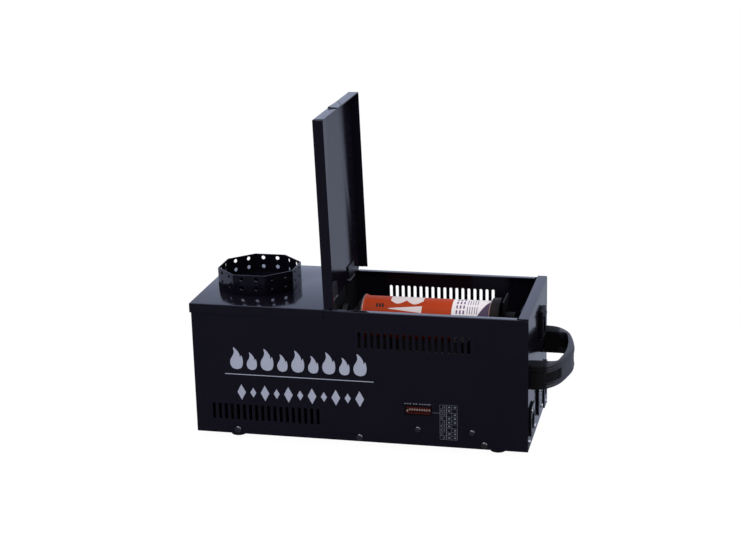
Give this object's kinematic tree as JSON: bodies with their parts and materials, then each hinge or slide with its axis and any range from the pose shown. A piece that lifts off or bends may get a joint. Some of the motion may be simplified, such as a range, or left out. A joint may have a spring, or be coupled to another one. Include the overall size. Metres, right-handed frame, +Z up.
{
  "type": "stage flame machine",
  "caption": "Low black sheet-metal box with an octagonal perforated flame collar, an open gas bay under a hinged lid, slotted vents, rear sockets and a moulded handle.",
  "frame": {"origin": "middle of the footprint on the floor, under the feet", "axes": "+X along the box towards the rear panel and handle, +Y to the back, +Z up"},
  "size_m": [0.389, 0.1516, 0.3457],
  "materials": {
    "black_powder": "satin black powder coat",
    "zinc_steel": "bright zinc plate",
    "brass": "machined",
    "copper": "drawn copper pipe",
    "black_plastic": "moulded, fine texture",
    "black_rubber": "matt",
    "ceramic_white": "glazed",
    "can_paint": "gloss print on tinplate",
    "board_green": "solder mask",
    "switch_red": "moulded",
    "lever_white": "moulded",
    "resin_black": "cast resin"
  },
  "bodies": {
    "chassis": {"outer_shell": "black_powder", "base_pan": "black_powder", "rear_panel": "black_powder", "top_cover": "black_powder", "flame_collar": "black_powder", "bulkhead": "black_powder", "gas_bay_shelf": "black_powder", "hinge_fixed_leaf_1": "zinc_steel", "hinge_fixed_leaf_2": "zinc_steel", "gas_inlet_fitting": "brass", "can_cradle_1": "zinc_steel", "can_cradle_2": "zinc_steel", "can_end_bracket": "zinc_steel", "pusher_spring": "zinc_steel", "burner_bench": "zinc_steel", "burner_nozzle": "brass", "electrode_insulator_1": "ceramic_white", "electrode_insulator_2": "ceramic_white", "electrode_tip_1": "zinc_steel", "electrode_tip_2": "zinc_steel", "ignition_coil": "resin_black", "gas_valve_body": "brass", "solenoid_coil": "resin_black", "gas_pipe_inlet": "copper", "gas_pipe_nozzle": "copper", "control_board": "board_green", "dip_switch_body": "switch_red", "power_supply": "zinc_steel", "dmx_in_socket": "black_plastic", "dmx_out_socket": "black_plastic", "power_inlet": "black_plastic", "power_switch_body": "black_plastic", "handle": "black_plastic", "foot_1": "black_rubber", "foot_2": "black_rubber", "foot_3": "black_rubber", "foot_4": "black_rubber", "pan_screw_1": "zinc_steel", "pan_screw_2": "zinc_steel", "pan_screw_3": "zinc_steel"},
    "lid": {"lid": "black_powder", "hinge_lid_leaf_1": "zinc_steel", "hinge_lid_leaf_2": "zinc_steel"},
    "gas_can": {"gas_can_body": "can_paint", "gas_can_valve": "brass"},
    "pusher": {"can_pusher": "black_plastic"},
    "plunger": {"solenoid_plunger": "zinc_steel"},
    "latch": {"dmx_out_latch": "zinc_steel"},
    "rocker": {"power_switch_rocker": "black_plastic"},
    "lever_1": {"dip_lever_1": "lever_white"},
    "lever_2": {"dip_lever_2": "lever_white"},
    "lever_3": {"dip_lever_3": "lever_white"},
    "lever_4": {"dip_lever_4": "lever_white"},
    "lever_5": {"dip_lever_5": "lever_white"},
    "lever_6": {"dip_lever_6": "lever_white"},
    "lever_7": {"dip_lever_7": "lever_white"},
    "lever_8": {"dip_lever_8": "lever_white"},
    "lever_9": {"dip_lever_9": "lever_white"},
    "lever_10": {"dip_lever_10": "lever_white"}
  },
  "joints": [
    {"name": "lid_hinge", "type": "hinge", "parent": "chassis", "child": "lid", "pos_m": [-0.04985, 0.0005, 0.1482], "axis": [0, -1, 0], "range_deg": [-91.6, 0]},
    {"name": "gas_can_lift", "type": "slide", "parent": "chassis", "child": "gas_can", "axis": [0, 0, 1], "range_m": [0, 0.062]},
    {"name": "pusher_slide", "type": "slide", "parent": "chassis", "child": "pusher", "axis": [1, 0, 0], "range_m": [0, 0.0024], "stiffness_N_per_m": 800, "springref_m": -0.004, "deforming": ["pusher_spring"]},
    {"name": "solenoid_lift", "type": "slide", "parent": "chassis", "child": "plunger", "axis": [0, 0, 1], "range_m": [0, 0.0015], "stiffness_N_per_m": 300, "springref_m": -0.002},
    {"name": "latch_press", "type": "slide", "parent": "chassis", "child": "latch", "axis": [-1, 0, 0], "range_m": [0, 0.0014], "stiffness_N_per_m": 500, "springref_m": -0.001},
    {"name": "rocker_pivot", "type": "hinge", "parent": "chassis", "child": "rocker", "pos_m": [0.15405, 0.0195, 0.1155], "axis": [0, 1, 0], "range_deg": [-20, 0]},
    {"name": "lever_1_slide", "type": "slide", "parent": "chassis", "child": "lever_1", "axis": [0, 0, 1], "range_m": [0, 0.0015]},
    {"name": "lever_2_slide", "type": "slide", "parent": "chassis", "child": "lever_2", "axis": [0, 0, 1], "range_m": [-0.0015, 0]},
    {"name": "lever_3_slide", "type": "slide", "parent": "chassis", "child": "lever_3", "axis": [0, 0, 1], "range_m": [-0.0015, 0]},
    {"name": "lever_4_slide", "type": "slide", "parent": "chassis", "child": "lever_4", "axis": [0, 0, 1], "range_m": [-0.0015, 0]},
    {"name": "lever_5_slide", "type": "slide", "parent": "chassis", "child": "lever_5", "axis": [0, 0, 1], "range_m": [-0.0015, 0]},
    {"name": "lever_6_slide", "type": "slide", "parent": "chassis", "child": "lever_6", "axis": [0, 0, 1], "range_m": [-0.0015, 0]},
    {"name": "lever_7_slide", "type": "slide", "parent": "chassis", "child": "lever_7", "axis": [0, 0, 1], "range_m": [-0.0015, 0]},
    {"name": "lever_8_slide", "type": "slide", "parent": "chassis", "child": "lever_8", "axis": [0, 0, 1], "range_m": [-0.0015, 0]},
    {"name": "lever_9_slide", "type": "slide", "parent": "chassis", "child": "lever_9", "axis": [0, 0, 1], "range_m": [-0.0015, 0]},
    {"name": "lever_10_slide", "type": "slide", "parent": "chassis", "child": "lever_10", "axis": [0, 0, 1], "range_m": [-0.0015, 0]}
  ]
}
